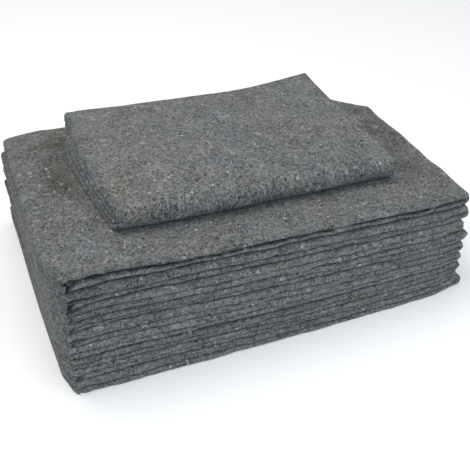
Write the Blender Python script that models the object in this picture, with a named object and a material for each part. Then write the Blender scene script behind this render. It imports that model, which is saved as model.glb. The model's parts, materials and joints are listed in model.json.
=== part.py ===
"""Ten felt moving blankets, folded and stacked.

Nine blankets lie flat on each other, each folded in half, in half again, and in half
across. A tenth, folded once more, lies on top. Every blanket is one solid: the section
of its folded sheet, carried along the line of its last folds.

The model is in metres with +Z up. +X runs along the stack's long front, +Y to its back.
The stack is laid out from its front left corner, and centred once it is whole.
"""

import math

import bmesh
import bpy

MM = 0.001

# The sheet: its size laid out flat, its thickness, and the step from layer to layer.
SHEET_LONG = 2.00
SHEET_SHORT = 1.50
FELT = 2.2 * MM
PITCH = 2.6 * MM

# Four layers make the strip, and the strip folded once makes a big blanket.
STRIP = 4 * PITCH
BIG_LENGTH = SHEET_SHORT / 2
BIG_DEPTH = SHEET_LONG / 4 + 15 * MM
BETWEEN = 0.5 * MM

# The small blanket is folded once more: where it lies on the pile, and its strip's step.
SMALL_LEFT = 0.127
SMALL_RIGHT = 0.643
SMALL_FRONT = 0.100
SMALL_BACK = 0.500
SMALL_FRONT_SKEW = 20 * MM
SMALL_STEP = STRIP + 0.6 * MM

# Straight lines across the whole pile on which every blanket bends. They are shared, so
# that each blanket lies evenly on the one below.
LINES_X = (0.10, 0.30, 0.50, 0.67)
LINES_Y = (0.10, 0.36)
SMALL_LINES_Y = (0.24, 0.36)

# The pile isn't level. Its height goes up or down by these shares along X and along Y,
# and its back right corner sags.
LEVEL_X = ((0.0, 0.02), (0.10, 0.055), (0.30, 0.0), (0.50, -0.035), (0.67, -0.04), (0.75, -0.035))
LEVEL_Y = ((0.0, 0.0), (0.10, -0.005), (0.36, -0.025), (0.515, -0.08))
CORNER_SAG = 0.05

# The big blankets, lowest first, in millimetres. thick: the lower and the upper half.
# The edges stand out (+) or in (-) from the pile. front: at the left, in the middle, near
# the right, at the right corner. right, left: at the front, at the back. corner: how far
# the back right corner is drawn in. tuck: how far the upper half's front lies back.
BIG_BLANKETS = (
    dict(thick=(11.0, 12.4), front=(20, 25, 25, 8), right=(-5, 0), left=(5, 7), back=5, corner=5, tuck=2),
    dict(thick=(9.8, 10.0), front=(17, 20, 19, 10), right=(-12, -3), left=(3, 8), back=1, corner=12, tuck=-2),
    dict(thick=(9.6, 11.0), front=(15, 18, 14, 8), right=(-14, -5), left=(5, 4), back=6, corner=22, tuck=3),
    dict(thick=(9.6, 12.0), front=(12, 12, 13, 8), right=(-10, 1), left=(2, 7), back=-2, corner=34, tuck=1),
    dict(thick=(10.0, 13.5), front=(11, 14, 9, 3), right=(-15, -5), left=(4, 8), back=3, corner=46, tuck=-3),
    dict(thick=(9.6, 9.6), front=(7, 7, 9, 5), right=(-8, 0), left=(3, 4), back=0, corner=58, tuck=2),
    dict(thick=(10.5, 13.0), front=(5, 9, 5, 0), right=(-15, -3), left=(0, 7), back=5, corner=70, tuck=-1),
    dict(thick=(11.0, 13.0), front=(1, 4, 2, -3), right=(-12, 2), left=(1, 3), back=-1, corner=82, tuck=3),
    dict(thick=(10.0, 13.0), front=(-3, -1, -3, -6), right=(-9, 0), left=(-2, -1), back=3, corner=95, tuck=2),
)
FRONT_PLACES = (0.0, 0.375, 0.67, 0.75)
CORNER_PLACES = ((0.50, 0.0), (0.67, 0.35), (0.75, 1.0))
LEFT_CORNER_IN = 13 * MM

# The small blanket's own thickness, as a share, from its left side to its right (rows from
# front to back), and how far its lower layers stand out to the left, in millimetres.
SMALL_LOFT = (
    dict(y=0.127, shares=(0.94, 1.00, 1.00, 0.90)),
    dict(y=0.24, shares=(0.97, 1.02, 1.02, 0.96)),
    dict(y=0.36, shares=(0.97, 1.01, 1.02, 1.00)),
    dict(y=0.49, shares=(0.94, 0.97, 1.02, 1.25)),
)
SMALL_SPREAD = ((0.127, 8), (0.24, 14), (0.36, 22), (0.49, 3))

GREY = (0.155, 0.160, 0.160)
GREY_SPREAD = 0.012


def remove_everything():
    """Start from an empty file."""
    for thing in list(bpy.data.objects):
        bpy.data.objects.remove(thing, do_unlink=True)


def mix(a, b, share):
    """The value a share of the way from a to b."""
    return a + (b - a) * share


def along(places, values, place):
    """The value at a place on a line through the given values, carried on past its ends."""
    last = len(places) - 2
    at = max(i for i in range(last + 1) if i == 0 or places[i] <= place)
    return mix(values[at], values[at + 1], (place - places[at]) / (places[at + 1] - places[at]))


def reach(start, end, place):
    """0 up to the start, 1 from the end on, and in step between them."""
    return min(1.0, max(0.0, (place - start) / (end - start)))


def level(x, y):
    """How high the pile stands over one point of its plan, as a share of its flat height."""
    sag = reach(LINES_X[-1], BIG_LENGTH, x) * reach(LINES_Y[-1], BIG_DEPTH, y)
    return 1 + along(*zip(*LEVEL_X), x) + along(*zip(*LEVEL_Y), y) - CORNER_SAG * sag


def turn(centre, radius, start, sweep, steps):
    """Stations round a bend: place and heading at each, from one run's end to the next's start."""
    side = math.copysign(1, sweep)
    stations = []
    for step in range(steps + 1):
        heading = start + sweep * step / steps
        out = heading - side * math.pi / 2
        place = (centre[0] + radius * math.cos(out), centre[1] + radius * math.sin(out))
        stations.append((*place, heading))
    return stations


def single_fold(near, far, pitch, lines):
    """The line of a strip folded once: out on the lower run, round the far end, and back."""
    low = [(u, -pitch / 2, 0.0) for u in (near, *lines)]
    high = [(u, pitch / 2, math.pi) for u in (*reversed(lines), near)]
    return low + turn((far, 0), pitch / 2, 0.0, math.pi, 4) + high


def double_fold(near, far, pitch, lines, outer_steps=4, inner_steps=2, far_steps=3):
    """The line of a sheet folded in half, and in half again.

    It starts at the far end of the lowest run, turns up round the near end to the highest
    run, turns down at the far end, and comes back round the near end inside the first bend.
    """
    out, back = math.pi, 0.0
    free_low = [(u, -1.5 * pitch, out) for u in (far, *reversed(lines))]
    outer = turn((near, 0), 1.5 * pitch, out, -math.pi, outer_steps)
    top = [(u, 1.5 * pitch, back) for u in lines]
    over = turn((far, pitch), 0.5 * pitch, back, -math.pi, far_steps)
    under = [(u, 0.5 * pitch, out) for u in reversed(lines)]
    inner = turn((near, 0), 0.5 * pitch, out, math.pi, inner_steps)
    free_high = [(u, -0.5 * pitch, back) for u in (*lines, far)]
    return free_low + outer + top + over + under + inner + free_high


def felt_section(stations):
    """The closed outline of a sheet along a fold line: one face out, the other face back."""
    faces = {}
    for side in (1, -1):
        shift = side * FELT / 2
        faces[side] = [(u - shift * math.sin(h), v + shift * math.cos(h)) for u, v, h in stations]
    return faces[1] + faces[-1][::-1]


def swept(section, stations, place):
    """Rings of points: the section set square to each station of a fold line."""
    rings = []
    for u, v, heading in stations:
        across = (-math.sin(heading), math.cos(heading))
        rings.append([place(a, u + b * across[0], v + b * across[1]) for a, b in section])
    return rings


def split_face(body, a, b, c, d):
    """Two triangles for one four-sided face.

    Their shared side runs from front left to back right in plan on every blanket, so that
    two blankets that lie on each other bend alike.
    """
    slant = c.co - a.co
    if slant.x * slant.y > 0:
        body.faces.new((a, b, c))
        body.faces.new((a, c, d))
    else:
        body.faces.new((a, b, d))
        body.faces.new((b, c, d))


def felt_material(name, shade):
    """Matt grey felt."""
    material = bpy.data.materials.new(name)
    material.use_nodes = True
    shader = material.node_tree.nodes["Principled BSDF"]
    shader.inputs["Base Color"].default_value = (*(part + shade for part in GREY), 1.0)
    shader.inputs["Roughness"].default_value = 0.95
    shader.inputs["Metallic"].default_value = 0.0
    return material


def solid(name, rings, shade):
    """One closed body from rings of points, its two ends filled between the sheet's faces."""
    mesh = bpy.data.meshes.new(name)
    body = bmesh.new()
    loops = [[body.verts.new(point) for point in ring] for ring in rings]
    count = len(rings[0])
    for this, other in zip(loops, loops[1:]):
        for i in range(count):
            j = (i + 1) % count
            split_face(body, this[i], this[j], other[j], other[i])
    for loop in (loops[0], loops[-1]):
        for i in range(count // 2 - 1):
            body.faces.new((loop[i], loop[i + 1], loop[-2 - i], loop[-1 - i]))
    bmesh.ops.recalc_face_normals(body, faces=body.faces)
    body.to_mesh(mesh)
    body.free()
    mesh.materials.append(felt_material(name + "_felt", shade))
    mesh.shade_smooth()
    mesh.set_sharp_from_angle(angle=math.radians(40))
    thing = bpy.data.objects.new(name, mesh)
    bpy.context.collection.objects.link(thing)
    return thing


def edge_shift(row, x, y, upper):
    """How far a big blanket's edge lies from the even pile, at a point of its plan."""
    to_right = reach(LINES_X[-1], BIG_LENGTH - STRIP, x)
    to_left = 1 - reach(0, LINES_X[0], x)
    to_front = 1 - reach(STRIP / 2, LINES_Y[0], y)
    to_back = reach(LINES_Y[-1], BIG_DEPTH - PITCH, y)
    front = along(FRONT_PLACES, row["front"], x) - (row["tuck"] if upper else 0)
    drawn = row["corner"] * along(*zip(*CORNER_PLACES), max(x, CORNER_PLACES[0][0]))
    right = mix(*row["right"], y / BIG_DEPTH)
    left = mix(*row["left"], y / BIG_DEPTH)
    shift_x = to_right * right * MM - to_left * left * MM + to_left * to_front * LEFT_CORNER_IN
    shift_y = to_back * (row["back"] - drawn) * MM - to_front * front * MM
    return shift_x, shift_y


def big_blanket(number):
    """One big blanket: the four-layer strip, folded once round the stack's right end."""
    row = BIG_BLANKETS[number]
    lower, upper = (half * MM for half in row["thick"])
    middle = pile_height(number) + lower
    strip = felt_section(double_fold(STRIP / 2, BIG_DEPTH - PITCH, PITCH, LINES_Y))
    line = single_fold(0.0, BIG_LENGTH - STRIP, STRIP, LINES_X)
    air = (PITCH - FELT) / 2

    def place(y, x, z):
        shift_x, shift_y = edge_shift(row, x, y, z > 0)
        half = upper if z > 0 else lower
        x, y, z = x + shift_x, y + shift_y, middle + z * half / (STRIP - air)
        return x, y, z * level(x, y)

    shade = GREY_SPREAD * math.sin(2.4 * number)
    return solid(f"blanket_{number + 1}", swept(strip, line, place), shade)


def pile_height(count):
    """The height of the lowest blankets, laid flat, with the air over them."""
    return sum(sum(row["thick"]) * MM + BETWEEN for row in BIG_BLANKETS[:count])


def small_blanket():
    """The top blanket: the four-layer strip, folded twice, its fat fold to the front."""
    base = pile_height(len(BIG_BLANKETS))
    left = SMALL_LEFT + STRIP / 2
    right = SMALL_RIGHT - PITCH / 2
    near = SMALL_FRONT + 2 * SMALL_STEP
    far = SMALL_BACK - SMALL_STEP
    lines_x = [x for x in LINES_X if left < x < right]
    strip = felt_section(double_fold(left, right, PITCH, lines_x))
    line = double_fold(near, far, SMALL_STEP, SMALL_LINES_Y, outer_steps=6, inner_steps=3)
    lowest = -2 * SMALL_STEP + (SMALL_STEP - STRIP + PITCH - FELT) / 2
    loft_y = [row["y"] for row in SMALL_LOFT]
    loft_x = (left, *lines_x, right)

    def place(x, y, z):
        loft = along(loft_y, [along(loft_x, row["shares"], x) for row in SMALL_LOFT], y)
        low = 1 - (z - lowest) / (-2 * lowest)
        to_left = 1 - reach(left, lines_x[0], x)
        x -= to_left * low * along(*zip(*SMALL_SPREAD), y) * MM
        to_front = 1 - reach(near, SMALL_LINES_Y[0], y)
        y -= to_front * (1 - reach(left, right, x)) * SMALL_FRONT_SKEW
        return x, y, base * level(x, y) + (z - lowest) * loft

    return solid("top_blanket", swept(strip, line, place), GREY_SPREAD)


def centre_on_floor(things):
    """Set the whole stack over the origin, standing on z = 0."""
    points = [vertex.co for thing in things for vertex in thing.data.vertices]
    low = [min(point[axis] for point in points) for axis in range(3)]
    high = [max(point[axis] for point in points) for axis in range(3)]
    shift = (-(low[0] + high[0]) / 2, -(low[1] + high[1]) / 2, -low[2])
    for point in points:
        point.x += shift[0]
        point.y += shift[1]
        point.z += shift[2]


remove_everything()
stack = [big_blanket(number) for number in range(len(BIG_BLANKETS))]
stack.append(small_blanket())
centre_on_floor(stack)
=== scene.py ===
# %% [markdown]
# # A stack of felt moving blankets
#
# Ten blankets of grey recycled felt lie in a pile. Nine are folded to eight layers and
# make a thick block of cloth with rounded folds at the front and at the right. The tenth
# is folded once more and lies on top. Each is one closed skin round one folded sheet, so
# the layers, the folds and the cut edges are all real shapes.
#
# The packed model comes first. It gives the size and the place of everything here.

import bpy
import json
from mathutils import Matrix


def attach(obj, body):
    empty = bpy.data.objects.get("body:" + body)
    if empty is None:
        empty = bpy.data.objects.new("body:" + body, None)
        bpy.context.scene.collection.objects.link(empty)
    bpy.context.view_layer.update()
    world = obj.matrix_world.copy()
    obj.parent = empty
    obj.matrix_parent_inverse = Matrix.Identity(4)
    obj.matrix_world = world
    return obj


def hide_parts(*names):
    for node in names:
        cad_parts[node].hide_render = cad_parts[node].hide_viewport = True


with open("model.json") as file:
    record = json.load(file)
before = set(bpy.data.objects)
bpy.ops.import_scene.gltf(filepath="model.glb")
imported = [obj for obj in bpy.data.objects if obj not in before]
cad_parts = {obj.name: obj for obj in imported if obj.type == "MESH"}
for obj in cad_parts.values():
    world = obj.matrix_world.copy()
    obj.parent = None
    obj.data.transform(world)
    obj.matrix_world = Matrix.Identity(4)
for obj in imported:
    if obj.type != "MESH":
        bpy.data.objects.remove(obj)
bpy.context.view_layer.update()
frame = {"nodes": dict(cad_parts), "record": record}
print("nodes:", sorted(frame["nodes"]))

# %% [markdown]
# ## The sheet and how it is folded
#
# Every blanket is the same sheet, 2.0 m by 1.5 m and about 2 mm thick. The 2.0 m side is
# folded in half and in half again, which makes a strip of four layers. A strip folded in
# half once more is a big blanket, and one folded in half twice more is the small one.
# The sizes below are the same as in the packed model.

# %% The sizes of the sheet, the folds and the pile
import json
import math

import bpy
import numpy as np
from mathutils import Vector

MM = 0.001
SHEET_LONG = 2.00
SHEET_SHORT = 1.50
FELT = 2.2 * MM
PITCH = 2.6 * MM
STRIP = 4 * PITCH
BIG_LENGTH = SHEET_SHORT / 2
BIG_DEPTH = SHEET_LONG / 4 + 15 * MM
BETWEEN = 0.5 * MM
AIR = (PITCH - FELT) / 2
SMALL_LEFT, SMALL_RIGHT = 0.127, 0.643
SMALL_FRONT, SMALL_BACK = 0.100, 0.500
SMALL_FRONT_SKEW = 20 * MM
SMALL_STEP = STRIP + 0.6 * MM
CORNER = Vector((-0.3719, -0.2478, 0.0))   # the even pile's front left corner in the frame
print("strip", STRIP, "m; big blanket", BIG_LENGTH, "x", BIG_DEPTH, "m")

# %% [markdown]
# ## Smooth lines through a few values
#
# Cloth has no corners in it. The pile's sizes are given at a few places only, and a cubic
# between each two of them gives edges and tops that curve gently.

# %% Smooth values between given ones
def smooth_line(places, values, at):
    """Values at any places on a smooth line through a few given ones.

    Between two given places the line is a cubic. Its slope at each of them is that of the
    chord over both neighbours. Past the ends it runs on straight.
    """
    x, y = np.asarray(places, float), np.asarray(values, float)
    chords = np.diff(y) / np.diff(x)
    slopes = np.concatenate((chords[:1], (y[2:] - y[:-2]) / (x[2:] - x[:-2]), chords[-1:]))
    at = np.asarray(at, float)
    i = np.clip(np.searchsorted(x, at, side="right") - 1, 0, len(x) - 2)
    width = x[i + 1] - x[i]
    t = np.clip((at - x[i]) / width, 0, 1)
    step = t * t * (3 - 2 * t)
    bow = width * t * (1 - t) * (slopes[i] * (1 - t) - slopes[i + 1] * t)
    past = at - np.clip(at, x[0], x[-1])
    return y[i] + (y[i + 1] - y[i]) * step + bow + past * np.where(past < 0, slopes[0], slopes[-1])


def read_off(table, at):
    """Values at any places on the smooth line through a table of (place, value) rows."""
    return smooth_line(*zip(*table), at)


def ease(start, end, at):
    """0 up to the start, 1 from the end on, and the S-shaped 3tt - 2ttt between them."""
    t = np.clip((at - start) / (end - start), 0, 1)
    return t * t * (3 - 2 * t)


print("a quarter eased:", float(ease(0, 1, 0.25)))

# %% [markdown]
# ## Small unevenness
#
# No fold of real cloth is even. A displacement texture could roughen it, but hills made
# of a few random waves have a height anywhere, before there is a mesh. Each use has its
# own seed.

# %% Hills of random waves
def hills(seed, longest, shortest, waves=16):
    """A function of two places: random hills, mostly between -1 and 1.

    It is a sum of plane waves, each with its own direction and start. Their lengths are
    spread between the longest and the shortest.
    """
    pick = np.random.default_rng(seed)
    length = longest * (shortest / longest) ** pick.random(waves)
    angle = pick.random(waves) * math.pi
    start = pick.random(waves) * 2 * math.pi
    size = math.sqrt(0.5 / waves)

    def height(a, b):
        total = 0.0
        for k in range(waves):
            along = a * math.cos(angle[k]) + b * math.sin(angle[k])
            total = total + np.sin(along * (2 * math.pi / length[k]) + start[k])
        return total * size

    return height


ground = hills(1, 0.25, 0.05)(np.linspace(0, 1, 99), 0.0)
print("the highest of these hills:", round(float(ground.max()), 2))

# %% [markdown]
# ## Runs and bends
#
# Seen from its end, folded cloth is one line that runs out, turns round a bend and runs
# back. Such a line is kept as stations: a place (u, v) and the heading there. The runs
# are straight, with stations close together near the folds, where the cloth shows, and
# far apart in the middle, where it is hidden. The bends are part circles.

# %% Stations along a run and round a bend
def graded(near, far, fine, coarse):
    """Places from near to far, fine steps apart at both ends and coarse ones in the middle.

    The steps follow from an even parameter t: the place is near + (far - near) times
    t + b sin(2 pi t) / (2 pi), with b set so that the end steps are fine / coarse shorter.
    """
    count = max(3, int(round(abs(far - near) / coarse)) + 1)
    b = -(1 - min(1.0, fine / coarse))
    t = np.linspace(0, 1, count)
    return near + (far - near) * (t + b * np.sin(2 * math.pi * t) / (2 * math.pi))


def edge_places(edge, inward):
    """A few places close to a cut edge, going inward (+1 or -1), where the felt thins out."""
    return edge + inward * FELT * np.array((0.0, 0.06, 0.2, 0.45))


def to_edge(places, edge):
    """The places of a run that ends at a free edge of the sheet."""
    return np.concatenate((places[:-1], edge_places(edge, -1)[::-1]))


def run(places, v, heading):
    """Stations of a straight run: (u, v, heading) rows."""
    return np.column_stack((places, np.full(len(places), v), np.full(len(places), heading)))


def bend(u, v, radius, start, sweep, steps):
    """Stations round a bend, without its two ends.

    The heading turns evenly. The place lies a radius off the centre, square to the
    heading, on the bend's outer side.
    """
    heading = start + sweep * np.arange(1, steps) / steps
    out = heading - math.copysign(math.pi / 2, sweep)
    return np.column_stack((u + radius * np.cos(out), v + radius * np.sin(out), heading))


print("a graded run in mm:", [round(float(p) / MM) for p in graded(0, BIG_DEPTH, 6 * MM, 55 * MM)])

# %% [markdown]
# ## The two fold lines
#
# A strip folded once is a single hairpin. A sheet folded in half and in half again has
# one bend inside another at one end and a single bend at the other. These two lines,
# used as sections and as paths, make all ten blankets.

# %% A single and a double fold
def single_fold(near, places, pitch, steps):
    """A strip folded once: out on the lower run, round the far end, and back above it."""
    far = places[-1]
    low = run(places, -pitch / 2, 0.0)
    high = run(places[::-1], pitch / 2, math.pi)
    return np.concatenate((low, bend(far, 0, pitch / 2, 0.0, math.pi, steps), high))


def double_fold(layers, pitch, steps):
    """A sheet folded in half, and in half again.

    The line starts at the far end of the lowest run, turns up round the near end to the
    highest run, turns down at the far end, and comes back round the near end inside the
    first bend. layers are the places along the four runs, from near to far, in that order.
    """
    free_low, top, under, free_high = layers
    near, far = top[0], top[-1]
    outer, over, inner = steps
    return np.concatenate((
        run(free_low[::-1], -1.5 * pitch, math.pi),
        bend(near, 0, 1.5 * pitch, math.pi, -math.pi, outer),
        run(top, 1.5 * pitch, 0.0),
        bend(far, pitch, 0.5 * pitch, 0.0, -math.pi, over),
        run(under[::-1], 0.5 * pitch, math.pi),
        bend(near, 0, 0.5 * pitch, math.pi, math.pi, inner),
        run(free_high, -0.5 * pitch, 0.0),
    ))


def lengths(line):
    """How far along the line each station lies."""
    steps = np.hypot(*np.diff(line[:, :2], axis=0).T)
    return np.concatenate(((0.0,), np.cumsum(steps)))


hairpin = single_fold(0.0, np.array((0.0, BIG_LENGTH - STRIP)), STRIP, 12)
print("a big blanket's strip is", round(float(lengths(hairpin)[-1]), 3), "m long")

# %% [markdown]
# ## From two fold lines to the sheet's faces
#
# A blanket has two kinds of fold, square to each other. Its section is the double fold of
# the sheet. Its path is the line along which the four-layer strip was folded afterwards.
# The section is carried along the path, and the felt's two faces lie half its thickness
# off the section's line. A Solidify modifier could give the thickness, but here it is
# a little lumpy, thins out at the free edges and swells where the strip was cut off.

# %% The folded sheet as a grid of points
LUMPS = 0.10   # how uneven the felt's thickness is, as a share of it


def thinned(distance):
    """The felt's thickness near a free edge, as a share: a quarter circle over 1 mm."""
    t = np.clip(distance / (0.45 * FELT), 0, 1)
    return np.sqrt(np.clip(1 - (1 - t) ** 2, 0.12, 1))


def fluffed(distance):
    """The felt's thickness near a cut end: it swells over 6 mm until the layers touch."""
    return 1 + (0.97 * PITCH / FELT - 1) * (1 - ease(0, 6 * MM, distance))


def folded_sheet(section, path, reshape, seed):
    """The two faces of a folded sheet, as rings of points along the path.

    On the section, a face lies at (a, b) = (u, v) + side t (-sin h, cos h), where h is the
    heading and t half the thickness. On the path, that point goes to
    (c, d) = (u, v) + b (-sin h, cos h). reshape may move (a, b) first, along the path.
    Returns a, c and d, and the cloth's own place: along, across and through the sheet.
    """
    s, t = lengths(path), lengths(section)
    lump = hills(seed, 40 * MM, 9 * MM, 24)(s[:, None], t[None, :])
    from_cut = np.minimum(s, s[-1] - s)
    half = FELT / 2 * (1 + LUMPS * lump * ease(0, 8 * MM, from_cut)[:, None])
    half = half * fluffed(from_cut)[:, None] * thinned(np.minimum(t, t[-1] - t))[None, :]
    u, v, h = section.T
    faces = []
    for side in (1, -1):
        a, b = u - side * half * np.sin(h), v + side * half * np.cos(h)
        through = side * half + 0 * a
        faces.append(np.stack((a, b, np.broadcast_to(t, a.shape), through)))
    a, b, across, through = np.concatenate((faces[0], faces[1][:, :, ::-1]), axis=2)
    a, b = reshape(a, b, s[:, None])
    u, v, h = path.T[:, :, None]
    c, d = u - b * np.sin(h), v + b * np.cos(h)
    return a, c, d, np.stack((np.broadcast_to(s[:, None], a.shape), across, through), axis=2)


print("felt 0, 0.5 and 1 mm from a free edge:", np.round(thinned(np.array((0, 0.5, 1)) * MM), 2))

# %% [markdown]
# ## One closed skin
#
# The rings of points become one mesh without a gap. Each point's place on the flat sheet
# is stored with it, for the pattern of the felt, and the cut ends are marked, because the
# felt looks different there.

# %% A mesh from the rings
def skin(name, x, y, z, cloth):
    """One closed mesh from a grid of rings.

    Each ring is joined to the next by four-sided faces. At both ends the sheet's two faces
    are joined across its thickness, station by station. If the volume comes out negative,
    the faces are turned round.
    """
    rings, count = x.shape
    points = np.stack((x, y, z), axis=2).reshape(-1, 3)
    index = np.arange(rings * count).reshape(rings, count)
    this, other = index[:-1], index[1:]
    sides = np.stack((this, np.roll(this, -1, 1), np.roll(other, -1, 1), other), axis=2).reshape(-1, 4)
    rungs = np.arange(count // 2 - 1)
    ladder = np.column_stack((rungs, rungs + 1, count - 2 - rungs, count - 1 - rungs))
    faces = np.concatenate((sides, index[0][ladder][:, ::-1], index[-1][ladder]))
    a, b, c, d = (points[faces[:, k]] for k in range(4))
    volume = np.einsum("ij,ij->", a, np.cross(b, c) + np.cross(c, d)) / 6
    if volume < 0:
        faces = faces[:, ::-1]
    mesh = bpy.data.meshes.new(name)
    mesh.vertices.add(len(points))
    mesh.vertices.foreach_set("co", points.ravel())
    mesh.loops.add(faces.size)
    mesh.loops.foreach_set("vertex_index", np.ascontiguousarray(faces).ravel())
    mesh.polygons.add(len(faces))
    mesh.polygons.foreach_set("loop_start", np.arange(0, faces.size, 4))
    mesh.update(calc_edges=True)
    mesh.polygons.foreach_set("use_smooth", np.arange(len(faces)) < len(sides))
    place = mesh.attributes.new("cloth", "FLOAT_VECTOR", "POINT")
    place.data.foreach_set("vector", cloth.reshape(-1).astype(np.float32))
    cut = np.zeros((rings, count), np.float32)
    cut[[0, -1]] = 1
    mesh.attributes.new("cut", "FLOAT", "POINT").data.foreach_set("value", cut.ravel())
    thing = bpy.data.objects.new(name, mesh)
    bpy.context.collection.objects.link(thing)
    print(name, 2 * len(faces), "triangles,", round(abs(volume) * 1e3, 2), "litres of felt")
    return thing


# %% [markdown]
# ## The heights in the pile
#
# Nine big blankets are eighteen halves, each one fold that shows at the front. Where two
# halves meet there is one surface, shared by both, so they can't cut into each other. The
# pile is higher at its left than at its right, and its back right corner sags.

# %% The flat heights and the level of the pile
LEVEL_X = (
    (0.0, 0.026), (0.025, 0.048), (0.06, 0.062), (0.10, 0.064),
    (0.30, 0.011), (0.50, -0.024), (0.67, -0.033), (0.75, -0.034),
)
LEVEL_Y = ((0.0, 0.0), (0.10, -0.005), (0.36, -0.025), (0.515, -0.092))
CORNER_SAG = 0.085
THICK = (   # the lower and the upper half of each blanket, lowest first, in millimetres
    (11.0, 12.4), (9.8, 10.0), (9.6, 11.0), (9.6, 12.0), (10.0, 13.5),
    (9.6, 9.6), (10.5, 13.0), (11.0, 13.0), (10.0, 13.0),
)
BASES = [0.0]
for lower, upper in THICK:
    BASES += [BASES[-1] + lower * MM, BASES[-1] + (lower + upper) * MM + BETWEEN]


def level(x, y):
    """The height of the pile over a place, as a share of its flat height.

    It is 1 plus a share read off along X and one along Y, less the sag, which grows
    from 0 to CORNER_SAG towards the back right corner.
    """
    sag = ease(0.67, 0.75, x) * ease(0.36, 0.515, y)
    return 1 + read_off(LEVEL_X, x) + read_off(LEVEL_Y, y) - CORNER_SAG * sag


print("flat heights in mm:", [round(b / MM, 1) for b in BASES])

# %% [markdown]
# ## The waves along the front
#
# At the front each surface between two halves rises and falls a little, which makes the
# wavering dark lines between the folds. A row of heights for each surface is easier to
# read and change than a sculpted shape.

# %% The surfaces between the folds
WAVE_PLACES = (0.0, 0.07, 0.21, 0.40, 0.57, 0.70, 0.75)
WAVES = (   # each surface between two halves, lowest first, in millimetres up or down
    (0, 0, 0, 0, 0, 0, 0),
    (-1, -2, 0.5, -1.5, -2.5, -2, -1),
    (1.5, 2.5, 1.5, -1.5, -2, -4, -2),
    (1, 2, 1, -4, -5, -6, -3),
    (1, 1.5, -1, -7, -7.5, -8.5, -4),
    (0, -1, -3, -7.5, -7, -8, -5),
    (-1, -2, -4, -8, -7, -8, -5),
    (-1, -2, -4.5, -6.5, -7.5, -8.5, -6),
    (-1, -1.5, -3, -6, -7.5, -9, -7),
    (-1, -1.5, -2, -5, -7.5, -9.5, -8),
    (0, 2.5, 0, -4.5, -7, -9.5, -8),
    (-1, -1, -3.5, -4, -4.5, -7.5, -6),
    (-3, -2, -4.5, -5, -5, -7, -6),
    (-5, -1, -3.5, -3, -4.5, -6, -5),
    (-15, -3, -2, -0.5, -3, -6, -5),
    (-1, -5.5, -2.5, -1, -2.5, -6, -5),
    (-6, -2, 0, 2, 0.5, -4, -3),
    (2, 3, -1, 3, 1, -3, -3),
    (0, 0, 0, 0, 0, 0, 0),
)


def surface(k, x, y):
    """The height of the k-th surface of the pile over a place.

    It is the flat height times the level, plus the wave along the front, which fades out
    towards the back, plus small hills that are largest near the edges.
    """
    base = BASES[k] * level(x, y)
    if k == 0:
        return base
    if k == len(BASES) - 1:
        return base + (hills(900, 0.40, 0.10)(x, y) + 0.25 * hills(901, 0.06, 0.02)(x, y)) * MM
    at_front = 1 - ease(0.01, 0.06, y)
    at_ends = np.maximum(1 - ease(0.0, 0.05, x), ease(0.46, 0.51, y))
    wave = smooth_line(WAVE_PLACES, WAVES[k], x) * (1 - ease(0.05, 0.22, y))
    ripple = hills(100 + k, 0.09, 0.018)(x, y * 0.6) * (0.25 + 0.75 * np.maximum(at_front, at_ends))
    return base + (wave + ripple) * MM


print("height of the pile at its four corners in mm:",
      [round(float(surface(18, x, y)) / MM) for x in (0, BIG_LENGTH) for y in (0, BIG_DEPTH)])

# %% [markdown]
# ## The gaps between the halves
#
# Felt springs back a little, so two folds touch further in and part at the front. The
# widest gaps are high in the pile, where little weight presses on them, and they are the
# darkest lines.

# %% How far two halves stand apart
GAPS = (0, 0.6, 1.1, 0.1, 0.6, 0.2, 1.2, 0.1, 0.7, 0.3, 0.9, 0.7, 0.1, 0.3, 1.9, 1.0, 2.6, 3.4, 0)
GAP_DEPTH = 25 * MM   # how far in from the front the folds touch
CUT_ZONE = 12 * MM    # how far from the cut left end they start to part


def gap(k, x, y):
    """How far the two halves at the k-th surface stand apart there.

    Between blankets it is never less than the pile's own air. At the front the round
    folds part by up to GAPS millimetres, more in some places than in others. At the cut
    left end they lie close again.
    """
    from_cut = ease(0, CUT_ZONE, x)
    uneven = 0.8 + 0.5 * hills(200 + k, 0.15, 0.03)(x, 0 * x)
    front = GAPS[k] * MM * np.maximum(uneven, 0.1) * (1 - ease(0.0, GAP_DEPTH, y)) * from_cut
    between_blankets = k % 2 == 0
    if between_blankets:
        return BETWEEN * (0.15 + 0.85 * from_cut) + front
    return front * (1 - ease(0.70, 0.74, x))


print("widest gap at the front:", max(GAPS), "mm")

# %% [markdown]
# ## The folds at the front
#
# The front of the pile is a wall of fold ends. Where the cloth is pressed, a fold is flat
# in front and meets its neighbour in a faint line. Where it is loose, it stays round and
# leaves a deep dark groove. The roundness is the power of a super-ellipse: 2 is a half
# circle and 5 is nearly a square.

# %% How round each fold is
GROOVES = (0.6, 0.6, 0.9, 0.1, 0.6, 0.3, 0.9, 0.2, 0.6, 0.4, 0.7, 0.6, 0.2, 0.35, 0.9, 0.6, 1.0, 1.0, 0.3)
PRESSED, LOOSE = 8.5, 2.3   # the powers of a flat fold and of a round one
BEND_NEAR = STRIP / 2
BEND_RADIUS = 1.5 * PITCH + FELT / 2


def squared_bend(a, b, near, power):
    """Moves the points of a round bend out onto a super-ellipse of the same width.

    The bend is what lies nearer than near. With d and e the place off its centre in
    radii, a point keeps its direction, and its distance grows by the distance of the
    circle over that of the curve |d|^n + |e|^n = 1 in the same direction.
    """
    d, e = (near - a) / BEND_RADIUS, b / BEND_RADIUS
    r = np.hypot(d, e) + 1e-9
    grow = ((np.abs(d) / r) ** power + (np.abs(e) / r) ** power) ** (-1 / power)
    at_bend = a < near
    return np.where(at_bend, near - d * grow * BEND_RADIUS, a), np.where(at_bend, b * grow, b)


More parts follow.
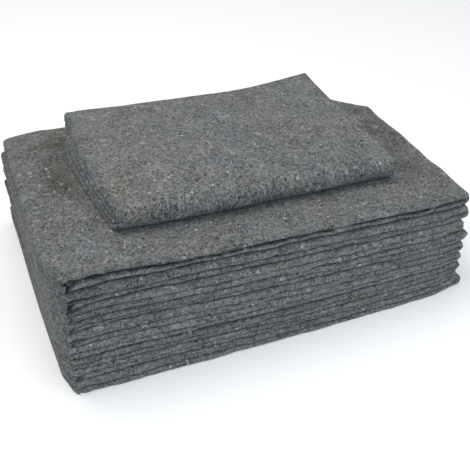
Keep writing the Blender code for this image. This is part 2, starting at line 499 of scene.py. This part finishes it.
def fold_power(number, s, b):
    """The roundness of a big blanket's folds at the path's length s.

    The side b > 0 meets the blanket's own other half, b < 0 the neighbouring blanket. The
    folds at the right end of the stack are all round.
    """
    upper = ease(0.70, 0.80, s)
    middle = GROOVES[2 * number + 1]
    outer = GROOVES[2 * number] * (1 - upper) + GROOVES[2 * number + 2] * upper
    drift = 0.30 * hills(300 + number, 0.20, 0.03)(s, 0 * s)
    strength = np.clip(np.where(b > 0, middle, outer) + drift, 0, 1)
    power = PRESSED - (PRESSED - LOOSE) * strength
    at_right = ease(0.68, 0.735, s) * (1 - ease(0.76, 0.815, s))
    return power + (LOOSE - power) * at_right


powers = [round(float(fold_power(8, 0.3, side)), 1) for side in (1, -1)]
print("powers of the top blanket's folds at 0.3 m:", powers)

# %% [markdown]
# ## How the big blankets lie
#
# No two of them lie quite alike. Each row says how far the front, right, left and back
# edges stand out, from place to place along them, and how far the back right corner is
# drawn in. Tuck draws in the upper half's front. Open and slip part the halves at the
# front left corner, and turn is how far the cut ends turn in there.

# %% A row for each big blanket
COLUMNS = ("front", "right", "left", "back", "corner", "tuck", "open", "slip", "turn")
BIG_BLANKETS = [dict(zip(COLUMNS, row)) for row in (   # lowest first, in millimetres
    ((23, 25, 20, 8), (-5, 0), (1, 5, 7), 5, 5, 2, 1, 3, 17),
    ((19, 21, 17, 9), (-20, -8), (2, 4, 8), 1, 12, 1, 3, 8, 17),
    ((16, 18, 14, 8), (-14, -5), (2, 4, 5), 6, 22, 1, 2, 4, 17),
    ((13, 14, 12, 7), (-13, -1), (2, 4, 7), -2, 34, 1, 1, 3, 17),
    ((11, 13, 9, 5), (-12, -4), (2, 4, 8), 3, 56, 1, 3, 8, 18),
    ((8, 9, 8, 4), (-8, 0), (2, 4, 4), 0, 72, -1, 2, 6, 19),
    ((6, 7, 5, 1), (-17, -4), (1, 3, 6), 5, 88, 1, 3, 7, 20),
    ((3, 4, 3, -2), (-9, 2), (1, 2, 5), -1, 104, 1, 5, 14, 22),
    ((-2, -1, -3, -6), (-10, 5), (0, 0, -4), 3, 122, 0, 11, 20, 23),
)]
FRONT_PLACES = (0.0, 0.375, 0.67, 0.75)
CORNER_SHAPE = ((0.50, 0.0), (0.665, 0.12), (0.695, 0.34), (0.720, 0.66), (0.733, 0.92), (0.753, 1.12))
ROUNDED = 9.0      # the radius of the cloth's back left corner, in millimetres
EDGE_HILLS = 1.6   # how far the edges waver, in millimetres


def from_row_to_row(place, key):
    """A value of the table at any height of the pile, on a smooth line through the rows."""
    return smooth_line(range(9), [key(row) for row in BIG_BLANKETS], place)


print("back right corners drawn in by", [row["corner"] for row in BIG_BLANKETS], "mm")

# %% [markdown]
# ## Where each edge lies
#
# All four edges are moved from the even pile by smooth amounts, and each takes with it
# the cloth up to the first bend line inside it.

# %% The shift of the edges
def front_shift(number, x, upper):
    """How far the front stands out: the row's line along X, tucked in on the upper half."""
    row = BIG_BLANKETS[number]
    line = smooth_line(FRONT_PLACES, row["front"], x) - row["tuck"] * upper
    return line + EDGE_HILLS * hills(400 + 2 * number, 0.22, 0.03)(x, 0.3 * upper)


def back_shift(number, x, upper):
    """How far the back stands out, less the drawn-in right and the rounded left corner."""
    row = BIG_BLANKETS[number]
    drawn_in = row["corner"] * np.maximum(read_off(CORNER_SHAPE, np.maximum(x, 0.50)), 0)
    line = row["back"] + 2.0 * hills(500 + number, 0.20, 0.04)(x, 0.3 * upper) - drawn_in
    across = 1 - np.clip(x / (ROUNDED * MM), 0, 1)
    return line - ROUNDED * (1 - np.sqrt(1 - across ** 2))


def right_shift(number, y):
    """How far the right end stands out: an even change from the front to the back."""
    front, back = BIG_BLANKETS[number]["right"]
    return front + (back - front) * y / BIG_DEPTH + EDGE_HILLS * hills(600 + number, 0.25, 0.05)(y, 0 * y)


def left_shift(number, y, height, upper):
    """How far the cut ends at the left stand out.

    They run on smoothly from one blanket to the next, except at the back. At the front
    they are turned in round the corner, by the square of the nearness to it.
    """
    place, deep = number + height / 2, y / BIG_DEPTH
    front, middle, back = (smooth_line((0.0, 0.5, 1.0), np.eye(3)[k], deep) for k in range(3))
    shift = front * from_row_to_row(place, lambda row: row["left"][0])
    shift = shift + middle * from_row_to_row(place, lambda row: row["left"][1])
    shift = shift + back * BIG_BLANKETS[number]["left"][2]
    shift = shift + EDGE_HILLS * deep ** 2 * hills(700 + number, 0.20, 0.03)(y, 0.3 * upper)
    shift = shift + EDGE_HILLS / 2 * hills(700, 0.15, 0.02)(y, place * 0.03)
    nearness = np.clip(1 - y / (0.065 + 0.005 * place), 0, 1)
    return shift - from_row_to_row(place, lambda row: row["turn"]) * nearness ** 2


def edge_shift(number, x, y, height):
    """How far a big blanket's cloth moves along X and Y, over a place of its plan."""
    upper = ease(-0.05, 0.05, height)
    to_right, to_left = ease(0.67, 0.7396, x), 1 - ease(0, 0.10, x)
    to_front, to_back = 1 - ease(STRIP / 2, 0.10, y), ease(0.36, BIG_DEPTH - PITCH, y)
    shift_x = to_right * right_shift(number, y) - to_left * left_shift(number, y, height, upper)
    shift_y = to_back * back_shift(number, x, upper) - to_front * front_shift(number, x, upper)
    return shift_x * MM, shift_y * MM


print("front of the lowest blanket stands out", round(float(front_shift(0, 0.4, 0)), 1), "mm")

# %% [markdown]
# ## The front left corner
#
# There the cut meets the folds, and each fold ends in a small open notch. Its lower half
# slips back and the two halves spread a little. A bell-shaped mask keeps this to the last
# centimetre of the fold.

# %% The notches at the left ends of the folds
def notch(x, height):
    """The notch at the left end of a fold, a bell that gets narrower and goes left below."""
    below = np.clip(-height, 0, 1)
    return np.exp(-((x - 0.010 + 0.005 * below) / (0.006 - 0.003 * below)) ** 2)


def corner_opening(row, x, y, height):
    """How far the cloth slips back and how far the halves spread, near the corner.

    Both follow the notch. The halves also stay a little apart behind it, up to 0.11 m.
    """
    at_corner = (1 - ease(0.003, 0.020, y)) * MM
    hole = notch(x, height)
    behind = ease(0, 0.01, x) * (1 - ease(0.03, 0.11, x))
    slipped = row["slip"] * at_corner * hole * ease(0, 0.25, -height)
    return slipped, row["open"] * at_corner / 2 * (0.6 * hole + 0.4 * behind)


def ragged(number, x, y, z, height):
    """How far the cut ends stand out or in, unevenly, and more towards the back."""
    rough = hills(800 + number, 0.05, 0.008)(y, z * 14) * (1 - ease(0, 0.04, x))
    return rough * (1 - height ** 4) * (0.35 + 0.6 * ease(0.10, 0.40, y)) * MM


print("the notch's depth 10 mm from the end:", float(notch(0.010, 0.0)))

# %% [markdown]
# ## The pattern's place on the cloth
#
# Where a fold was squared and stretched to its height in the pile, the felt's flecks
# would be drawn out to streaks. So the place across the sheet is measured again.

# %% Measure the cloth on the finished shape
FOLDED_IN_FRONT = BIG_DEPTH - PITCH - BEND_NEAR + 0.75 * math.pi * PITCH   # its middle, across


def measured(y, z, across):
    """The place across the cloth, measured again on the finished shape.

    Along each ring it is the sum of the steps hypot(dy, dz), counted from the middle of
    the front fold. Both faces of the felt take the values of the outer one.
    """
    half = y.shape[1] // 2
    steps = np.hypot(np.diff(y[:, :half], axis=1), np.diff(z[:, :half], axis=1))
    length = np.concatenate((np.zeros((len(y), 1)), np.cumsum(steps, axis=1)), axis=1)
    k = np.argmin(np.abs(across[0, :half] - FOLDED_IN_FRONT))
    outer = across[:, k:k + 1] + length - length[:, k:k + 1]
    return np.concatenate((outer, outer[:, ::-1]), axis=1)


print("the front folds lie", round(FOLDED_IN_FRONT, 4), "m across the sheet")

# %% [markdown]
# ## The nine big blankets
#
# Each is the strip, folded once round the right end of the stack. Its edges are moved
# first. Then its height is fitted between the surfaces below and above it, so the whole
# pile closes up whatever the edges do. The top one has finer steps, because its upper
# side shows.

# %% Lay out the big blankets
FINE, HIDDEN = 6 * MM, 55 * MM   # the steps near a fold and in the middle of a hidden run


def between_surfaces(number, x, y, height, spread):
    """Stretches a blanket's own height, from -1 to 1, to its place in the pile.

    The lower half goes from the surface below to the middle one and the upper half from
    there to the surface above. Each end keeps half the gap that it has to its neighbour.
    """
    low, middle, high = (surface(2 * number + k, x, y) for k in range(3))
    under, parted, over = (gap(2 * number + k, x, y) / 2 for k in range(3))
    low, high, parted = low + under * (number > 0), high - over, parted + spread
    rise = np.where(height > 0, (high - middle - parted) * height, (middle - parted - low) * height)
    return np.maximum(middle + parted * np.sign(height) + rise, 0)


def big_blanket(number, top_step, path_step):
    """One big blanket: the four-layer strip, folded once round the stack's right end."""
    near, far, right = BEND_NEAR, BIG_DEPTH - PITCH, BIG_LENGTH - STRIP
    hidden, shown = graded(near, far, FINE, HIDDEN), graded(near, far, 4 * MM, top_step)
    runs = to_edge(shown, far), hidden, hidden, to_edge(hidden, far)
    section = double_fold(runs, PITCH, (10, 6, 4))
    by_the_cut = edge_places(0.0, 1), np.linspace(2.2 * MM, 30 * MM, 15)
    places = np.concatenate((*by_the_cut, graded(33 * MM, right, path_step * 0.5, path_step)))
    path = single_fold(0.0, places, STRIP, 12)

    def reshape(y, b, s):
        return squared_bend(y, b, near, fold_power(number, s, b))

    y, x, z, cloth = folded_sheet(section, path, reshape, number)
    height = np.clip(z / (STRIP - AIR), -1, 1)
    shift_x, shift_y = edge_shift(number, x, y, height)
    slipped, spread = corner_opening(BIG_BLANKETS[number], x, y, height)
    x, y = x + shift_x + ragged(number, x, y, z, height), y + shift_y + slipped
    z = between_surfaces(number, x, y, height, spread)
    cloth[:, :, 1] = measured(y, z, cloth[:, :, 1])
    return skin(f"felt_{number + 1}", x + CORNER.x, y + CORNER.y, z + CORNER.z, cloth)


big = [big_blanket(number, HIDDEN, 5.5 * MM) for number in range(8)]
big.append(big_blanket(8, 8 * MM, 6 * MM))
print("big blankets:", len(big))

# %% [markdown]
# ## The small blanket on top
#
# It is the same strip of four layers, folded in half twice, so its section has one more
# turn and its fat fold lies at the front. Its left side shows the four strips, the lower
# ones slipped a little to the left. Tables give its loft and the line of its edges.

# %% How the small blanket lies
LOFT_ACROSS = (0.30, 0.50)   # where the two inner columns of the loft stand
SMALL_LOFT = (   # a place along Y, and the loft from left to right as a share
    (0.127, (0.94, 1.00, 1.00, 0.90)),
    (0.24, (0.97, 1.02, 1.02, 0.96)),
    (0.36, (0.97, 1.01, 1.02, 1.00)),
    (0.49, (0.94, 0.97, 1.02, 1.32)),
)
SMALL_SPREAD = ((0.127, 8), (0.24, 14), (0.36, 22), (0.49, 3))
SMALL_BULGE = ((0.10, -10), (0.19, -3), (0.27, 4), (0.36, 0.5), (0.50, 7))
SMALL_LEAN = ((0.10, -2), (0.16, 4), (0.22, 8), (0.30, 8), (0.40, 3), (0.50, 0))
SMALL_POWER = 2.6   # the roundness of its folds
SMALL_HILLS = 1.2 * MM


def small_loft(left, right, x, y):
    """The loft over a place: smooth along X in each row, and smooth along Y between them."""
    across = (left, *LOFT_ACROSS, right)
    places = [place for place, _ in SMALL_LOFT]
    rows = [smooth_line(across, shares, x) for _, shares in SMALL_LOFT]
    return sum(smooth_line(places, np.eye(4)[k], y) * rows[k] for k in range(4))


print("lower strips slipped by up to", max(shift for _, shift in SMALL_SPREAD), "mm")

# %% [markdown]
# ## Fold and lay the small blanket
#
# The same two fold lines make it, this time the double fold twice. It rests on the top
# surface of the pile, so it follows its bow.

# %% Lay out the small blanket
def small_blanket():
    """The top blanket: the four-layer strip, folded twice, its fat fold to the front."""
    left, right = SMALL_LEFT + STRIP / 2, SMALL_RIGHT - PITCH / 2
    near, far = SMALL_FRONT + 2 * SMALL_STEP, SMALL_BACK - SMALL_STEP
    hidden, shown = graded(left, right, 5 * MM, 40 * MM), graded(left, right, 4 * MM, 8 * MM)
    free = to_edge(hidden, right)
    section = double_fold((free, shown, hidden, free), PITCH, (10, 8, 4))
    hidden, shown = graded(near, far, 5 * MM, 25 * MM), graded(near, far, 4 * MM, 7 * MM)
    free = to_edge(hidden, far)
    path = double_fold((free, shown, hidden, free), SMALL_STEP, (16, 10, 8))

    def reshape(x, b, s):
        return squared_bend(x, b, left, SMALL_POWER)

    x, y, z, cloth = folded_sheet(section, path, reshape, 50)
    lowest = -2 * SMALL_STEP + (SMALL_STEP - STRIP + PITCH - FELT) / 2
    loft = small_loft(left, right, x, y)
    low = 1 - (z - lowest) / (-2 * lowest)
    to_left = 1 - ease(left, 0.30, x)
    x = x - to_left * low * read_off(SMALL_SPREAD, y) * MM
    x = x - to_left * read_off(SMALL_LEAN, y) * MM
    x = x + ease(0.45, right, x) * read_off(SMALL_BULGE, y) * MM
    to_front = 1 - ease(near, 0.24, y)
    y = y - to_front * (1 - ease(left, right, x)) * SMALL_FRONT_SKEW
    y = y - to_front * ease(0.25, right, x) * 8 * MM
    x = x + SMALL_HILLS * hills(61, 0.15, 0.03)(y, z * 6) * (1 - ease(left, 0.25, x))
    y = y + SMALL_HILLS * hills(62, 0.20, 0.04)(x, z * 3) * (1 - ease(near, near + 0.05, y))
    top = SMALL_HILLS * hills(63, 0.30, 0.05)(x, y) * (1 - low)
    z = surface(18, x, y) + BETWEEN / 2 + (z - lowest) * loft + top
    return skin("felt_10", x + CORNER.x, y + CORNER.y, z + CORNER.z, cloth)


small = small_blanket()
print("pieces of felt:", len(big) + 1)

# %% [markdown]
# ## Shader maths as Python expressions
#
# A material is a small network of nodes. Written as expressions it reads like the rule it
# stands for, so one class wraps a node's output and lets Python's own signs add, scale and
# subtract it. Every other kind of node is made by one method.

# %% A socket that Python can reckon with
class Shade:
    """A value of a material, such as a mask, that the signs + - * ** and abs work on."""

    def __init__(self, tree, socket=None):
        self.tree, self.socket = tree, socket

    def node(self, kind, settings=None, inputs=None, output=0):
        """Makes a node: its settings first, then the values or links of its sockets."""
        made = self.tree.nodes.new(kind)
        for name, value in (settings or {}).items():
            setattr(made, name, value)
        for name, value in (inputs or {}).items():
            if isinstance(value, Shade):
                self.tree.links.new(value.socket, made.inputs[name])
            else:
                made.inputs[name].default_value = value
        return Shade(self.tree, made.outputs[output])

    def maths(self, operation, a, b=0.0):
        return self.node("ShaderNodeMath", {"operation": operation}, {0: a, 1: b})

    def __abs__(self):
        return self.maths("ABSOLUTE", self)

    def __add__(self, other):
        return self.maths("ADD", self, other)

    def __sub__(self, other):
        return self.maths("SUBTRACT", self, other)

    def __rsub__(self, other):
        return self.maths("SUBTRACT", other, self)

    def __mul__(self, other):
        return self.maths("MULTIPLY", self, other)

    def __pow__(self, other):
        return self.maths("POWER", self, other)

    __radd__, __rmul__ = __add__, __mul__

    def vector(self, operation, *others, output=0):
        """A Vector Math node on this colour or vector and up to two others."""
        return self.node("ShaderNodeVectorMath", {"operation": operation},
                         dict(enumerate((self, *others))), output)

    def between(self, low, high):
        """0 where this is at low or under it, 1 at high or over it, and even between."""
        inputs = {"Value": self, "From Min": low, "From Max": high}
        return self.node("ShaderNodeMapRange", {"clamp": True}, inputs)

    def mixed(self, first, second):
        """The first colour where this mask is 0, the second where it is 1."""
        return self.node("ShaderNodeMix", {"data_type": "RGBA"}, {0: self, 6: first, 7: second}, output=2)


print("signs that work on a socket:", [name for name in vars(Shade) if name.startswith("__r")])

# %% [markdown]
# ## Patches and spots
#
# Felt shows soft patches, which a noise gives, and small distinct spots. A Voronoi
# pattern is right for those, because each of its cells can hold one spot or none.

# %% Patterns on the cloth
def rgb(red, green, blue):
    """A colour for a socket, fully opaque."""
    return (red, green, blue, 1.0)


def part_of(base, share):
    """A darker or lighter grey: the base colour times a share."""
    return rgb(*(share * c for c in base))


def noise(place, scale, detail=2.0, rough=0.5):
    """Soft random patches from about 0 to 1, each about 1 / scale metres wide."""
    inputs = {"Vector": place, "Scale": scale, "Detail": detail, "Roughness": rough}
    return place.node("ShaderNodeTexNoise", {}, inputs)


def flecks(place, fray, scale, share, radius, wobble, stretch=(1.0, 1.0, 1.0)):
    """Small spots: cells of a Voronoi pattern, only a share of them, with frayed edges.

    There are scale cells to a metre, and the radius is in cells. A spot is full up to 0.6
    of it and ends at the whole. Its strength is drawn for each cell, and is 0 for all but
    the share.
    """
    frayed = fray.vector("MULTIPLY_ADD", (wobble, wobble, wobble), place).vector("MULTIPLY", stretch)
    inputs = {"Vector": frayed, "Scale": scale}
    distance = place.node("ShaderNodeTexVoronoi", {}, inputs)
    colour = place.node("ShaderNodeTexVoronoi", {}, inputs, output="Color")
    draw = place.node("ShaderNodeSeparateColor", {}, {0: colour}, output="Red")
    return (1 - distance.between(radius * 0.6, radius)) * draw.between(1 - share, 1.0) ** 0.6


print("a fleck of 110 cells to the metre is", round(2 * 0.29 / 110 / MM, 1), "mm across at most")

# %% [markdown]
# ## The grey mat
#
# The felt is needled together from shredded old textiles: close by, a grey mat of fibres.
# At the cut ends these are seen end on, rougher, and each layer is painted a little darker
# at its edges, as shade between the layers. This pattern stays in the room, as the sheet's
# own place hardly changes there.

# %% The mat and the cut ends
MAT_CONTRAST, CLOUD_CONTRAST = 2.8, 0.45
CUT_CONTRAST, LAYER_SHADE = 1.9, 0.5
DARKEST, LIGHTEST = 0.10, 1.55   # the range of greys, as shares of the base colour
TINTS = (   # patches to a metre, detail, where they start, strength, colour
    (9.0, 2.0, 0.52, 0.50, (0.55, 0.50, 0.43)),
    (13.0, 1.0, 0.52, 0.30, (0.47, 0.53, 0.45)),
    (20.0, 1.0, 0.56, 0.25, (0.52, 0.47, 0.52)),
    (16.0, 1.0, 0.58, 0.30, (0.46, 0.50, 0.58)),
)


def cut_end(cloth):
    """What the light gains or loses at a cut end: coarse fibres, less painted shade between layers."""
    cut = cloth.node("ShaderNodeAttribute", {"attribute_name": "cut"}, output="Fac")
    room = cloth.node("ShaderNodeTexCoord", output="Object")
    fibres = noise(room.vector("MULTIPLY", (1.0, 0.55, 1.0)), 230.0, 3.0, 0.6)
    through = cloth.node("ShaderNodeSeparateXYZ", {}, {0: cloth}, output="Z")
    # Painted shade between the layers, near each layer's faces.
    layer_shade = abs(through).between(0.25 * PITCH, 0.48 * PITCH)
    return cut * (CUT_CONTRAST * (fibres - 0.5) - LAYER_SHADE * layer_shade)


def tinted(place, colour):
    """Multiplies a colour by broad tints round a middle grey: brown, green, plum and blue."""
    tint = rgb(0.5, 0.5, 0.5)
    for scale, detail, start, strength, patch in TINTS:
        tint = (noise(place, scale, detail).between(start, 0.72) * strength).mixed(tint, rgb(*patch))
    return colour.vector("MULTIPLY", tint).vector("MULTIPLY", (2.0, 2.0, 2.0))


print("tints:", len(TINTS))

# %% [markdown]
# ## Flecks, hairs and lint
#
# On the mat lie short threads along and across the sheet, dark and white flecks, a few
# coloured tufts, thin light hairs and pale lint. A hair is where a broad noise passes its
# middle value, which is always a thin winding line.

# %% The flecks on the mat
PALE, THREAD, WHITE = (0.36, 0.36, 0.35), (0.42, 0.42, 0.41), (0.44, 0.44, 0.42)
RED_TUFT, BLUE_TUFT = (0.16, 0.05, 0.04), (0.04, 0.10, 0.13)
ALONG, ACROSS = (0.35, 1.2, 1.0), (1.2, 0.35, 1.0)


def flecked(place, colour, base):
    """Lays hairs, lint, threads, flecks and tufts over a colour, one after the other."""
    grain = {"Vector": place, "Scale": 500.0, "Detail": 1.0}
    fray = place.node("ShaderNodeTexNoise", {}, grain, output="Color")
    hair = 1 - abs(noise(place, 32.0, 1.0) - 0.5).between(0.004, 0.018)
    hair = hair * noise(place, 70.0, 0.0).between(0.52, 0.60)
    lint = flecks(place, fray, 34.0, 0.20, 0.27, 0.012)
    cross = flecks(place, fray, 150.0, 0.10, 0.24, 0.006, ACROSS)
    thread = flecks(place, fray, 150.0, 0.12, 0.24, 0.006, ALONG)
    tuft = flecks(place, fray, 90.0, 0.02, 0.26, 0.005)
    hue = noise(place, 40.0, 0.0).between(0.4, 0.6).mixed(rgb(*RED_TUFT), rgb(*BLUE_TUFT))
    colour = (hair * 0.5).mixed(colour, rgb(*PALE))
    colour = (lint * 0.4).mixed(colour, rgb(*PALE))
    colour = (cross * 0.8).mixed(colour, part_of(base, 0.15))
    colour = (thread * 0.6).mixed(colour, rgb(*THREAD))
    colour = flecks(place, fray, 110.0, 0.13, 0.29, 0.002).mixed(colour, part_of(base, 0.06))
    colour = flecks(place, fray, 100.0, 0.08, 0.30, 0.004).mixed(colour, rgb(*WHITE))
    return (tuft * 0.7).mixed(colour, hue)


print("threads are", round(ALONG[1] / ALONG[0], 1), "times as long as they are wide")

# %% [markdown]
# ## Painted shade and the whole material
#
# Some places are painted darker, as shade. Each is an oval on the sheet itself, with a rim
# broken up by the clouds that shade the mat. Felt is nearly fully rough, with a trace of
# sheen from the fibre ends. Its fine relief is bump, as it is far smaller than any face.

# %% Make the felt material
FULL_SHADE, SHADE_ENDS = 0.3, 1.3   # how far from the middle of a painted shade place, in radii


def paint_shade(cloth, colour, clouds, shaded):
    """Paints shade: darkens oval places of the cloth, with cloudy rims."""
    for centre, radii, depth, left_over in shaded:
        off = cloth.vector("SUBTRACT", centre).vector("DIVIDE", radii)
        away = off.vector("LENGTH", output="Value") + 1.5 * (clouds - 0.5)
        darker = colour.vector("MULTIPLY", left_over)
        colour = ((1 - away.between(FULL_SHADE, SHADE_ENDS)) * depth).mixed(colour, darker)
    return colour


def felt(name, base, seed, shaded=()):
    """Matt recycled felt round one base colour, darker where shade is painted on it."""
    material = bpy.data.materials.new(name)
    material.use_nodes = True
    tree = material.node_tree
    cloth = Shade(tree).node("ShaderNodeAttribute", {"attribute_name": "cloth"}, output="Vector")
    moved = {"Vector": cloth, "Location": (3.1 * seed, 1.7 * seed, 0.6 * seed)}
    place = cloth.node("ShaderNodeMapping", {}, moved)
    mat, clumps, clouds = noise(place, 420.0, 3.0, 0.7), noise(place, 130.0, 2.0, 0.6), noise(place, 24.0)
    light = 0.5 + MAT_CONTRAST * (mat - 0.5) + (clumps - 0.5) + CLOUD_CONTRAST * (clouds - 0.5)
    light = light + cut_end(cloth)
    colour = light.between(0.0, 1.0).mixed(part_of(base, DARKEST), part_of(base, LIGHTEST))
    colour = paint_shade(cloth, tinted(place, colour), clouds, shaded)
    colour = flecked(place, colour, base)
    relief = {"Height": mat * 0.6 + clumps * 0.8, "Strength": 0.6, "Distance": 1.2 * MM}
    bump = place.node("ShaderNodeBump", {}, relief, output="Normal")
    sockets = tree.nodes["Principled BSDF"].inputs
    tree.links.new(colour.socket, sockets["Base Color"])
    tree.links.new(bump.socket, sockets["Normal"])
    sockets["Roughness"].default_value = 0.95
    sockets["Specular IOR Level"].default_value = 0.15
    sockets["Sheen Weight"].default_value = 0.06
    sockets["Sheen Roughness"].default_value = 0.6
    return material


print("painted shade ends at", SHADE_ENDS, "times the radii of a worn place")

# %% [markdown]
# ## Where shade is painted on the blankets
#
# On the top big blanket, painted brown shade lies beside the small one and at its right
# edge, and painted dark shade in the groove under its front fold. The middle ones have
# painted shade at the front left corner, and the small one cool painted shade along its
# left fold. Places on the top are given in plan and looked up.

# %% The painted shade places
# The colours left where shade is painted, as shares of the felt's own colour.
BROWN_SHADE, COOL_SHADE, CORNER_SHADE = (0.62, 0.56, 0.50), (0.70, 0.74, 0.82), (0.70, 0.68, 0.68)
GROOVE_SHADE = (0.30, 0.31, 0.33)
# Painted shade: brown darker places round the small blanket stand in for its soft contact shadow.
TOP_SHADE = (   # on the top big blanket: place in plan, radii along x and y, depth
    (0.092, 0.37, 0.040, 0.100, 0.60),
    (0.070, 0.265, 0.035, 0.060, 0.70),
    (0.100, 0.44, 0.035, 0.050, 0.40),
    (0.715, 0.28, 0.050, 0.170, 0.55),
    (0.670, 0.13, 0.035, 0.040, 0.50),
    (0.015, 0.36, 0.050, 0.110, 0.25),
)
MIDDLE_BLANKETS = (4, 5, 6, 7)
FROM_CORNER = 0.10   # how far from the cut ends the middle blankets have painted shade
WHOLE_LENGTH = 99.0  # a radius that takes in the whole length of a fold


def cloth_at(piece, x, y):
    """The sheet's own place under a point of the pile's plan, on the piece's upper side.

    It is the place of the point that is nearest in plan, where height counts as nearness.
    """
    points = np.empty(3 * len(piece.data.vertices), np.float32)
    cloth = np.empty_like(points)
    piece.data.vertices.foreach_get("co", points)
    piece.data.attributes["cloth"].data.foreach_get("vector", cloth)
    points, cloth = points.reshape(-1, 3), cloth.reshape(-1, 3)
    away = np.hypot(points[:, 0] - x - CORNER.x, points[:, 1] - y - CORNER.y) - points[:, 2]
    return cloth[np.argmin(away)].tolist()


folded_at_left = SMALL_RIGHT - SMALL_LEFT - (STRIP + PITCH) / 2 + 0.75 * math.pi * PITCH
path_end = 2 * (BIG_LENGTH - STRIP) + math.pi * STRIP / 2
shade_places = [[] for _ in range(10)]
# Painted shade: the middle blankets' folds are darker at the front left corner.
for number in MIDDLE_BLANKETS:
    for along in (FROM_CORNER, path_end - FROM_CORNER):
        shade_places[number].append(((along, FOLDED_IN_FRONT, 0.0), (0.10, 0.03, 1.0), 0.45, CORNER_SHADE))
# Painted shade round the small blanket, on the top big blanket.
for x, y, along, across, depth in TOP_SHADE:
    shade_places[8].append((cloth_at(big[8], x, y), (along, across, 1.0), depth, BROWN_SHADE))
# Painted shade: near black inside the top big blanket's front fold, in the groove under it.
groove_shade_line = (0.0, FOLDED_IN_FRONT + 10 * MM, 0.0)
shade_places[8].append((groove_shade_line, (WHOLE_LENGTH, 8 * MM, 1.0), 0.9, GROOVE_SHADE))
# Painted shade: a cooler, darker band along the small blanket's left fold.
shade_places[9].append(((0.0, folded_at_left, 0.0), (WHOLE_LENGTH, 10 * MM, 1.0), 0.6, COOL_SHADE))
print("painted shade places on each blanket:", [len(places) for places in shade_places])

# %% [markdown]
# ## A felt for each blanket
#
# The blankets come from different batches, so each has its own grey, taken from the packed
# record, and its own part of the endless pattern.

# %% Give each blanket its felt
slots = {row["slot"]: row for row in frame["record"]["materials"]}
names = [f"blanket_{number + 1}" for number in range(9)] + ["top_blanket"]
pieces = [*big, small]
for seed, (name, piece) in enumerate(zip(names, pieces)):
    material = felt(f"felt_of_{name}", slots[name]["base_color"], seed, shade_places[seed])
    piece.data.materials.append(material)
print("greys:", [round(slots[name]["base_color"][0], 3) for name in names])

# %% [markdown]
# ## Which packed piece each one stands for
#
# Every blanket takes the place of its plain solid and stays with the pile.

# %% Join the blankets to the packed model
for number, (name, piece) in enumerate(zip(names, pieces)):
    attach(piece, "root")
    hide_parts(name)
    under = [names[number - 1]] if number else []
    print(piece.name, "stands for", name, "and rests on", under or "the floor")

# %% [markdown]
# ## The floor
#
# A plain white floor, large enough to have no edge in sight, takes the soft shadow. A
# faint glow of its own keeps it nearly white round the pile, as on a product photograph.

# %% Floor
FLOOR_REACH = 9
FLOOR_GLOW = 0.16
floor_mesh = bpy.data.meshes.new("floor")
corners = [(x * FLOOR_REACH, y * FLOOR_REACH, 0) for x, y in ((-1, -1), (1, -1), (1, 1), (-1, 1))]
floor_mesh.from_pydata(corners, [], [(0, 1, 2, 3)])
floor = bpy.data.objects.new("floor", floor_mesh)
bpy.context.collection.objects.link(floor)
paint = bpy.data.materials.new("floor_paint")
paint.use_nodes = True
sockets = paint.node_tree.nodes["Principled BSDF"].inputs
sockets["Base Color"].default_value = (0.9, 0.9, 0.9, 1)
sockets["Roughness"].default_value = 0.9
sockets["Emission Color"].default_value = (1, 1, 1, 1)
sockets["Emission Strength"].default_value = FLOOR_GLOW
floor_mesh.materials.append(paint)
print("floor:", 2 * FLOOR_REACH, "m wide")

# %% [markdown]
# ## The light
#
# A big soft lamp, slightly warm, hangs over the pile and a cooler one stands in front. A
# small cool one close to the floor lights the cut ends at the left. A pale world fills
# the shadows.

# %% Light
LAMPS = (   # name, place, size in metres, power in watts, colour
    ("over", (-0.6, 0.4, 2.3), 1.8, 30, (1.0, 0.96, 0.88)),
    ("front", (1.2, -2.1, 1.4), 1.8, 20.5, (0.74, 0.88, 1.0)),
    ("left", (-1.3, -0.75, 0.2), 0.6, 1.8, (0.60, 0.80, 1.0)),
)
AIM = Vector((0, 0, 0.1))
scene = bpy.context.scene
scene.world = bpy.data.worlds.new("studio")
scene.world.use_nodes = True
background = scene.world.node_tree.nodes["Background"].inputs
background["Color"].default_value = (0.93, 0.96, 1.0, 1)
background["Strength"].default_value = 0.60
for name, place, size, power, colour in LAMPS:
    lamp = bpy.data.objects.new(name, bpy.data.lights.new(name, "AREA"))
    lamp.data.shape = "SQUARE"
    lamp.data.size, lamp.data.energy, lamp.data.color = size, power, colour
    lamp.location = place
    lamp.rotation_euler = (AIM - Vector(place)).to_track_quat("-Z", "Y").to_euler()
    bpy.context.collection.objects.link(lamp)
    print(name, "lamp stands", round((AIM - Vector(place)).length, 2), "m away")

# %% [markdown]
# ## The camera
#
# It stands to the left of the pile's middle and looks down on it. Its place and direction
# were worked out from where the pile's corners lie in the picture.

# %% Camera
TURNED_RIGHT, LOOKING_DOWN = math.radians(21.671), math.radians(35.243)
FROM_FRONT_LEFT = Vector((-0.0662, -0.8988, 0.9084))
camera = bpy.data.objects.new("camera", bpy.data.cameras.new("camera"))
bpy.context.collection.objects.link(camera)
level_part = math.cos(LOOKING_DOWN)
forward = Vector((
    math.sin(TURNED_RIGHT) * level_part, math.cos(TURNED_RIGHT) * level_part, -math.sin(LOOKING_DOWN)
))
camera.location = CORNER + FROM_FRONT_LEFT
camera.rotation_euler = forward.to_track_quat("-Z", "Y").to_euler()
camera.data.sensor_width = 36
camera.data.lens = 58.70
camera.data.clip_start = 0.05
scene.camera = camera
scene.view_settings.view_transform = "Standard"
print("camera at", [round(v, 3) for v in camera.location])

# %% [markdown]
# The felt may stand only a few millimetres proud of the packed model.
